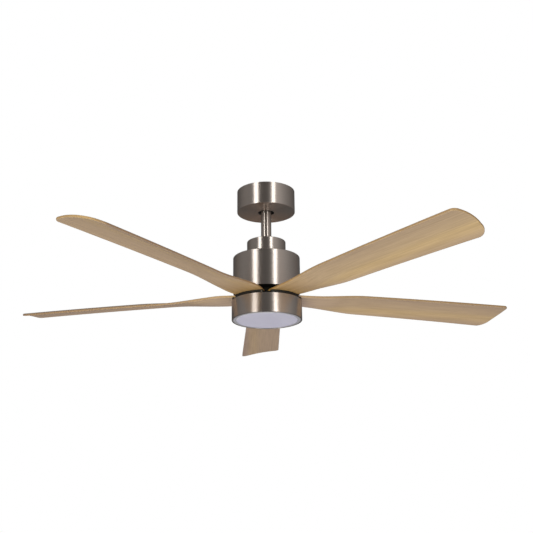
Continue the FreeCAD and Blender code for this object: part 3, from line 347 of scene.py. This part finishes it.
def wood_veneer(name, root_shading_paint):
    """Pale oak grained along the blade's X axis: tan at its leading side, a painted golden highlight band,
    then painted shade towards the trailing edge, and a painted root colour near the hub.
    """
    drift_reach = 24 * MM
    streak_reach = 12 * MM
    root_fade = 110 * MM
    root_end = 190 * MM
    finish = Finish(name, (0.42, 0.30, 0.20), 0.45, IOR=1.45)
    tree = finish.tree
    parts = add(tree, "ShaderNodeSeparateXYZ", {0: finish.point})
    facing = add(tree, "ShaderNodeSeparateXYZ", {0: add(tree, "ShaderNodeTexCoord").outputs["Normal"]})
    drift = finish.noise(finish.stretched((3.0, 14.0, 14.0)), 1.0, detail=3.0)
    streaks = finish.noise(finish.stretched((7.0, 330.0, 330.0)), 1.0, detail=4.0, roughness=0.6)
    pores = finish.noise(finish.stretched((40.0, 1500.0, 1500.0)), 1.0, detail=2.0)
    wander = calc(tree, "MULTIPLY_ADD", drift, drift_reach, -0.5 * drift_reach)
    ripple = calc(tree, "MULTIPLY_ADD", streaks, streak_reach, -0.5 * streak_reach)
    across = calc(tree, "ADD", calc(tree, "ADD", parts.outputs["Y"], wander), ripple)
    spread = calc(tree, "MULTIPLY_ADD", across, 1.0 / WOOD_SPAN, 0.5, clamp=True)
    # the wood's tone across the blade, with its painted golden highlight band and painted shade towards the
    # trailing edge
    tone = ramp(tree, spread, WOOD_TONE_AND_LIGHT_STOPS)
    # near the hub the root colour is blended in, from none at 190 mm to full at 80 mm from the axis: painted
    # shade on most blades, painted light on the lightened ones
    near_root = calc(tree, "MULTIPLY_ADD", parts.outputs["X"], -1.0 / root_fade,
                     root_end / root_fade, clamp=True)
    tone_with_root_shading = mix(tree, near_root, tone, root_shading_paint)
    fibre = ramp(tree, streaks, [(0.32, (0.85, 0.835, 0.815, 1.0)), (0.62, (1.07, 1.07, 1.06, 1.0))])
    grained = mix(tree, 1.0, tone_with_root_shading, fibre, "MULTIPLY")
    specks = ramp(tree, pores, [(0.30, (0.80, 0.76, 0.72, 1.0)), (0.42, (1.0, 1.0, 1.0, 1.0))])
    open_grain = mix(tree, 0.35, grained, specks, "MULTIPLY")
    flatness = calc(tree, "ABSOLUTE", facing.outputs["Z"])
    on_face = calc(tree, "MULTIPLY_ADD", flatness, 2.5, -1.0, clamp=True)
    edge_band = mix(tree, 1.0, tone_with_root_shading, WOOD_EDGE, "MULTIPLY")
    banded = mix(tree, on_face, edge_band, open_grain)
    finish.feed("Base Color", banded)
    finish.vary_roughness(streaks, 0.05)
    relief = calc(tree, "MULTIPLY_ADD", streaks, 0.6, calc(tree, "MULTIPLY", pores, 0.4))
    finish.bump(relief, 0.00002)
    return finish.material


def wood_stop(side, color):
    """One stop of the wood's tone and painted light across the blade, at a distance in millimetres from its
    line.
    """
    return (side * MM / WOOD_SPAN + 0.5, rgba(color))


WOOD_EDGE = (0.74, 0.66, 0.60, 1.0)
# painted shade: a darker, more golden root, standing in for the shade near the hub under the light drum and
# motor housing
PAINTED_ROOT_SHADE = (0.40, 0.252, 0.112, 1.0)
# painted light: a paler root for the blades that the light drum shades more, lightened to make up for that
# shade
PAINTED_ROOT_LIGHT = (0.50, 0.365, 0.275, 1.0)
# across the blade: the golden band at 26 to 38 mm is painted light, the darker stops towards the trailing
# edge are painted shade, and the leading edge is also darker
WOOD_TONE_AND_LIGHT_STOPS = [
    wood_stop(-52, (0.37, 0.255, 0.170)), wood_stop(-44, (0.405, 0.290, 0.198)),
    wood_stop(-10, (0.410, 0.293, 0.196)), wood_stop(12, (0.42, 0.300, 0.194)),
    wood_stop(26, (0.448, 0.316, 0.182)), wood_stop(38, (0.44, 0.310, 0.186)),
    wood_stop(48, (0.392, 0.280, 0.196)), wood_stop(58, (0.35, 0.246, 0.182))]


def opal_plastic():
    """Unlit opal diffuser: milky, with a soft satin skin."""
    finish = Finish("opal_plastic", (0.53, 0.515, 0.63), 0.38, IOR=1.49)
    finish.surface.inputs["Subsurface Weight"].default_value = 0.15
    finish.surface.inputs["Subsurface Radius"].default_value = (0.004, 0.004, 0.005)
    finish.surface.inputs["Subsurface Scale"].default_value = 1.0
    clouds = finish.noise(finish.point, 30.0)
    frost = finish.noise(finish.point, 1500.0, detail=2.0)
    finish.vary_color(clouds, 0.98, 1.02)
    finish.vary_roughness(clouds, 0.04)
    finish.bump(frost, 0.00001)
    return finish.material


def laminated_steel():
    """Stacked steel sheets, with fine lines across Z."""
    finish = Finish("laminated_steel", (0.20, 0.20, 0.215), 0.5, metallic=1.0)
    sheets = add(finish.tree, "ShaderNodeTexWave", {"Vector": finish.point, "Scale": 320.0},
                 wave_type="BANDS", bands_direction="Z")
    grain = finish.noise(finish.point, 400.0)
    finish.vary_color(grain, 0.9, 1.1)
    finish.vary_roughness(grain, 0.08)
    finish.bump(sheets.outputs["Fac"], 0.00005)
    return finish.material


def wound_copper():
    """Enamelled copper wire, wound in fine turns."""
    finish = Finish("wound_copper", (0.62, 0.24, 0.10), 0.3, metallic=1.0)
    turns = add(finish.tree, "ShaderNodeTexWave", {"Vector": finish.point, "Scale": 260.0, "Distortion": 0.6},
                wave_type="BANDS", bands_direction="Z")
    grain = finish.noise(finish.point, 200.0)
    finish.vary_color(grain, 0.8, 1.15)
    finish.vary_roughness(grain, 0.06)
    finish.bump(turns.outputs["Fac"], 0.0001)
    return finish.material


def make_materials():
    """One material for each of the record's material slots, and a second oak whose root is painted lighter as
    painted light.
    """
    return {
        "brushed_nickel": turned_metal("brushed_nickel", (0.62, 0.535, 0.475), 0.36, 0.95),
        "zinc_steel": plain_metal("zinc_steel", (0.60, 0.61, 0.64), 0.38),
        "screw_steel": plain_metal("screw_steel", (0.72, 0.72, 0.73), 0.25),
        "bearing_steel": plain_metal("bearing_steel", (0.66, 0.67, 0.69), 0.14, grain=0.03),
        "black_metal": moulded("black_metal", (0.006, 0.005, 0.005), 0.6),
        "cast_aluminium": plain_metal("cast_aluminium", (0.60, 0.60, 0.61), 0.48, bump=0.00004, scale=500.0),
        "stator_steel": laminated_steel(),
        "copper": wound_copper(),
        "magnet": plain_metal("magnet", (0.10, 0.10, 0.11), 0.55),
        # this oak's root carries the painted shade
        "oak_blade": wood_veneer("oak_veneer", PAINTED_ROOT_SHADE),
        # a copy of the oak whose root is painted lighter, as painted light
        "oak_lit_root": wood_veneer("oak_veneer_lit_root", PAINTED_ROOT_LIGHT),
        "opal": opal_plastic(),
        "satin_ring": moulded("satin_ring", (0.34, 0.335, 0.37), 0.40, tone=0.03),
        "nylon": moulded("nylon", (0.78, 0.77, 0.72), 0.45),
        "ball_plastic": moulded("ball_plastic", (0.022, 0.022, 0.024), 0.4),
        "device_plastic": moulded("device_plastic", (0.80, 0.80, 0.78), 0.42),
        "terminal_plastic": moulded("terminal_plastic", (0.82, 0.80, 0.72), 0.32),
        "foam": moulded("foam", (0.035, 0.035, 0.037), 0.95, tone=0.3, bump=0.0004, scale=1400.0),
        "circuit_board": moulded("circuit_board", (0.015, 0.11, 0.05), 0.3, tone=0.15),
        "board_parts": moulded("board_parts", (0.03, 0.03, 0.033), 0.35),
        "led_board": moulded("led_board", (0.82, 0.82, 0.81), 0.35),
        "led": moulded("led", (0.86, 0.68, 0.16), 0.35),
        "wire": moulded("wire", (0.22, 0.04, 0.025), 0.4),
    }


def paint_frame(materials):
    """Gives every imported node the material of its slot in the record."""
    for part in frame["record"]["subparts"]:
        node = frame["nodes"][part["node"]]
        material = materials[part["material_slot"]]
        for place in node.material_slots:
            place.material = material
        if not node.material_slots:
            node.data.materials.append(material)


# ---------------------------------------------------------------- blades

BLADE_LENGTH = 646.3 * MM
BLADE_THICKNESS = 5 * MM
# these blades get the root painted lighter, as painted light
LIGHTENED_ROOT_BLADES = (1, 2, 3)          # the ones with a pale root, counted from 0
ROOT_INNER = 47.5 * MM           # the root's nearest point to the fan's axis
STRAIGHT_START = 130 * MM        # where the two long edges start
LEAD_WIDTH = 40 * MM             # from the blade's line to its leading edge, at the start
LEAD_TIP = 48.6 * MM             # and at the tip
TRAIL_WIDTH = 45.2 * MM
TRAIL_TIP = 61.6 * MM
PITCH = math.radians(11.9)
TWIST_START = 90 * MM
TWIST_END = 250 * MM
TIP_RISE = 7.1 * MM
CAMBER = 5.6 * MM
CAMBER_START = 170 * MM
CAMBER_END = 330 * MM
ROOT_DISH = 2.8 * MM
ROOT_DISH_END = 215 * MM
BLADE_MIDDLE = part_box("clamp_plates")[0].z - 0.5 * BLADE_THICKNESS
EDGE_RADIUS = 1.3 * MM


def ease(value, start, end):
    """Smooth step from 0 at the start to 1 at the end."""
    ratio = min(1.0, max(0.0, (value - start) / (end - start)))
    return ratio * ratio * (3.0 - 2.0 * ratio)


def edge_widths(reach):
    """Distances from the blade's line to its leading and trailing edges."""
    ratio = max(0.0, reach - STRAIGHT_START) / (BLADE_LENGTH - STRAIGHT_START)
    lead = LEAD_WIDTH + (LEAD_TIP - LEAD_WIDTH) * ratio
    trail = TRAIL_WIDTH + (TRAIL_TIP - TRAIL_WIDTH) * ratio
    return lead, trail


def middle_height(reach, side):
    """Height of the blade's middle surface; side is negative towards the leading edge."""
    lead, trail = edge_widths(reach)
    ratio = max(0.0, reach - TWIST_START) / (BLADE_LENGTH - TWIST_START)
    rise = TIP_RISE * math.sin(0.5 * math.pi * ratio)
    tilt = PITCH * ease(reach, TWIST_START, TWIST_END)
    dish_ratio = min(1.0, max(0.0, (reach - TWIST_START) / (ROOT_DISH_END - TWIST_START)))
    dish = ROOT_DISH * math.sin(math.pi * dish_ratio) ** 2
    camber = CAMBER * ease(reach, CAMBER_START, CAMBER_END) - dish
    chord_ratio = (side + lead) / (trail + lead)
    arch = camber * (1.0 - (2.0 * chord_ratio - 1.0) ** 2)
    return BLADE_MIDDLE + rise - math.tan(tilt) * side + arch


def line_points(start, end, step):
    """Points from the start up to, but not at, the end."""
    start, end = Vector(start), Vector(end)
    count = max(1, round((end - start).length / step))
    return [start.lerp(end, index / count) for index in range(count)]


def arc_points(start, through, end, step):
    """Points of the arc through three points, up to, but not at, its end."""
    start, through, end = Vector(start), Vector(through), Vector(end)
    first, second = through - start, end - start
    cross = 2.0 * (first.x * second.y - first.y * second.x)
    centre = start + Vector((
        (second.y * first.length_squared - first.y * second.length_squared) / cross,
        (first.x * second.length_squared - second.x * first.length_squared) / cross))
    radius = (start - centre).length
    begin = math.atan2(start.y - centre.y, start.x - centre.x)
    finish = math.atan2(end.y - centre.y, end.x - centre.x)
    sweep = (finish - begin) % (2.0 * math.pi) if cross > 0 else -((begin - finish) % (2.0 * math.pi))
    count = max(3, round(abs(sweep) * radius / step))
    turns = [begin + sweep * index / count for index in range(count)]
    return [centre + radius * Vector((math.cos(turn), math.sin(turn))) for turn in turns]


def blade_outline():
    """The blade's plan, anticlockwise from its leading edge near the root."""
    step = 5 * MM
    corner_step = 2 * MM
    tip = BLADE_LENGTH
    root_lead = (STRAIGHT_START, -LEAD_WIDTH)
    root_trail = (STRAIGHT_START + 5 * MM, TRAIL_WIDTH)
    root_lead_corner = (ROOT_INNER + 4 * MM, -35.4 * MM)
    root_trail_corner = (ROOT_INNER + 6 * MM, 31 * MM)
    tip_lead = (tip - 16 * MM, -LEAD_TIP)
    tip_nose = (tip - 1.6 * MM, -LEAD_TIP + 14.5 * MM)
    tip_side = (tip - 7 * MM, 33 * MM)
    tip_trail = (tip - 36 * MM, TRAIL_TIP)
    points = line_points(root_lead, tip_lead, step)
    points += arc_points(tip_lead, (tip - 5.5 * MM, -LEAD_TIP + 4.2 * MM), tip_nose, corner_step)
    points += arc_points(tip_nose, (tip, -6 * MM), tip_side, step)
    points += arc_points(tip_side, (tip - 15.5 * MM, 51 * MM), tip_trail, corner_step)
    points += line_points(tip_trail, root_trail, step)
    points += arc_points(root_trail, (82 * MM, 40.3 * MM), root_trail_corner, step)
    points += arc_points(root_trail_corner, (ROOT_INNER, 0.0), root_lead_corner, corner_step)
    points += arc_points(root_lead_corner, (80 * MM, -39 * MM), root_lead, step)
    return points


def inset(points, distance):
    """The closed outline moved inwards."""
    moved = []
    for index, point in enumerate(points):
        along = (points[(index + 1) % len(points)] - points[index - 1]).normalized()
        moved.append(point + distance * Vector((-along.y, along.x)))
    return moved


def fill_plan(boundary, spacing):
    """Triangles that fill a closed outline, with inner points on an even lattice."""
    count = len(boundary)
    points = list(boundary)
    low = Vector((min(p.x for p in boundary), min(p.y for p in boundary)))
    high = Vector((max(p.x for p in boundary), max(p.y for p in boundary)))
    columns = int((high.x - low.x) / spacing)
    rows = int((high.y - low.y) / spacing)
    for column in range(1, columns + 1):
        for row in range(1, rows + 1):
            place = low + spacing * Vector((column - 0.5 * (row % 2), row))
            if min((place - edge).length for edge in boundary) > 0.6 * spacing:
                points.append(place)
    edges = [(index, (index + 1) % count) for index in range(count)]
    plan = delaunay_2d_cdt(points, edges, [], 1, 1e-6)
    return plan[0], plan[2]


def blade_mesh():
    """The whole blade as one closed mesh: two cambered faces joined by a rounded edge."""
    outline = blade_outline()
    quarter = [math.radians(angle) for angle in (90, 60, 30, 0)]
    half = 0.5 * BLADE_THICKNESS
    flat_margin = 1.5 * MM
    lattice = 9 * MM
    upper = [(EDGE_RADIUS + flat_margin, half)]
    upper += [(EDGE_RADIUS * (1 - math.cos(angle)), half - EDGE_RADIUS * (1 - math.sin(angle)))
              for angle in quarter]
    rings = upper + [(away, -height) for away, height in reversed(upper)]
    mesh = bmesh.new()
    loops = []
    for away, height in rings:
        plan = inset(outline, away)
        loops.append([mesh.verts.new((p.x, p.y, middle_height(p.x, p.y) + height)) for p in plan])
    for above, below in zip(loops, loops[1:]):
        for index in range(len(outline)):
            after = (index + 1) % len(outline)
            mesh.faces.new((above[index], below[index], below[after], above[after]))
    points, triangles = fill_plan(inset(outline, rings[0][0]), lattice)
    for loop, height, upward in ((loops[0], half, True), (loops[-1], -half, False)):
        inner = [mesh.verts.new((p.x, p.y, middle_height(p.x, p.y) + height))
                 for p in points[len(loop):]]
        corners = loop + inner
        for triangle in triangles:
            order = triangle if upward else reversed(triangle)
            mesh.faces.new([corners[index] for index in order])
    loose = [vert for vert in mesh.verts if not vert.link_faces]
    bmesh.ops.delete(mesh, geom=loose, context="VERTS")
    bmesh.ops.recalc_face_normals(mesh, faces=mesh.faces)
    for face in mesh.faces:
        face.smooth = True
    data = bpy.data.meshes.new("blade")
    mesh.to_mesh(data)
    mesh.free()
    return data


def make_blades(golden, pale):
    """Five blades of one shape, each in its own turned frame so that its grain follows it."""
    data = blade_mesh()
    data.materials.append(golden)
    # the lightened blades' copy, whose root is painted lighter as painted light
    lit_root_data = data.copy()
    lit_root_data.materials[0] = pale
    for number in range(BLADE_COUNT):
        shape = lit_root_data if number in LIGHTENED_ROOT_BLADES else data
        blade = bpy.data.objects.new(f"veneered_blade_{number + 1}", shape)
        bpy.context.scene.collection.objects.link(blade)
        blade.rotation_euler.z = FIRST_BLADE_ANGLE + 2.0 * math.pi * number / BLADE_COUNT
        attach(blade, "rotor")
        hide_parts(f"blade_{number + 1}")


# ---------------------------------------------------------------- scene

def use_plain_colors():
    """Shows white as white, with no film curve."""
    settings = bpy.context.scene.view_settings
    settings.view_transform = "Standard"
    settings.look = "None"


def main():
    use_plain_colors()
    make_camera()
    make_world()
    make_lights()
    make_floor()
    materials = make_materials()
    paint_frame(materials)
    make_blades(materials["oak_blade"], materials["oak_lit_root"])


main()
